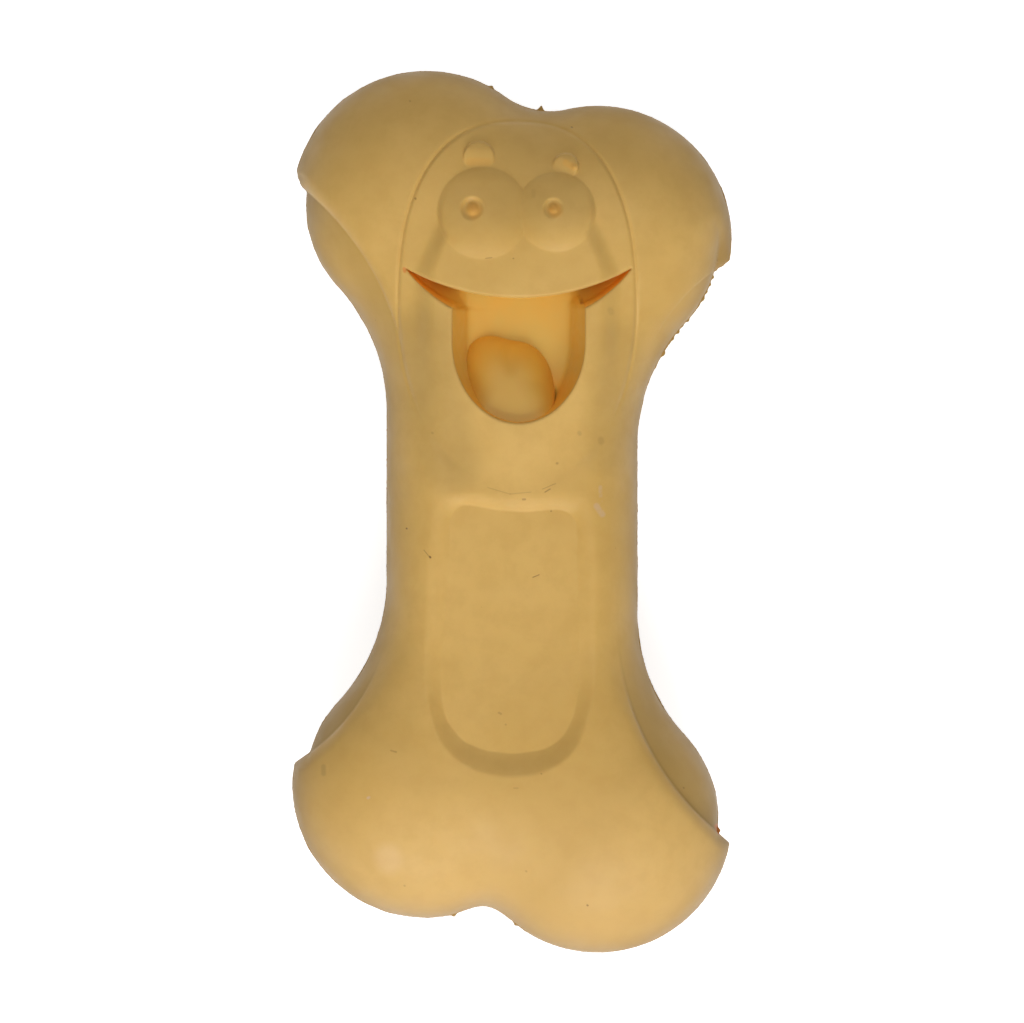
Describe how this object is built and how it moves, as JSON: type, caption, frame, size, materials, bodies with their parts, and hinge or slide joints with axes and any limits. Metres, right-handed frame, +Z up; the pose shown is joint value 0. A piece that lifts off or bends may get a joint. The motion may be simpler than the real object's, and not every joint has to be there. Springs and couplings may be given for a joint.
{
  "type": "chew toy",
  "caption": "Hollow rubber chew toy in the shape of a bone, with a laughing face, an open mouth with a tongue, a shallow recess and a squeaker in its back.",
  "frame": {"origin": "under the middle of the bone, on the flat back that it rests on", "axes": "+X across the bone, +Y along it towards the end with the face, +Z up out of the face"},
  "size_m": [0.0698, 0.14, 0.0367],
  "materials": {
    "cream_rubber": "matt, slightly waxy natural rubber, dusty and worn",
    "amber_rubber": "smooth satin rubber, amber",
    "tongue_rubber": "matt rubber, cream on its crown and amber at its back",
    "squeaker_plastic": "natural polyethylene",
    "reed_steel": "thin spring strip"
  },
  "bodies": {
    "root": {"front_shell": "cream_rubber", "back_shell": "cream_rubber", "mouth_cup": "amber_rubber", "tongue": "tongue_rubber", "squeaker_body": "squeaker_plastic", "reed_seat": "squeaker_plastic", "squeaker_reed": "reed_steel", "reed_clamp": "squeaker_plastic"}
  },
  "joints": []
}
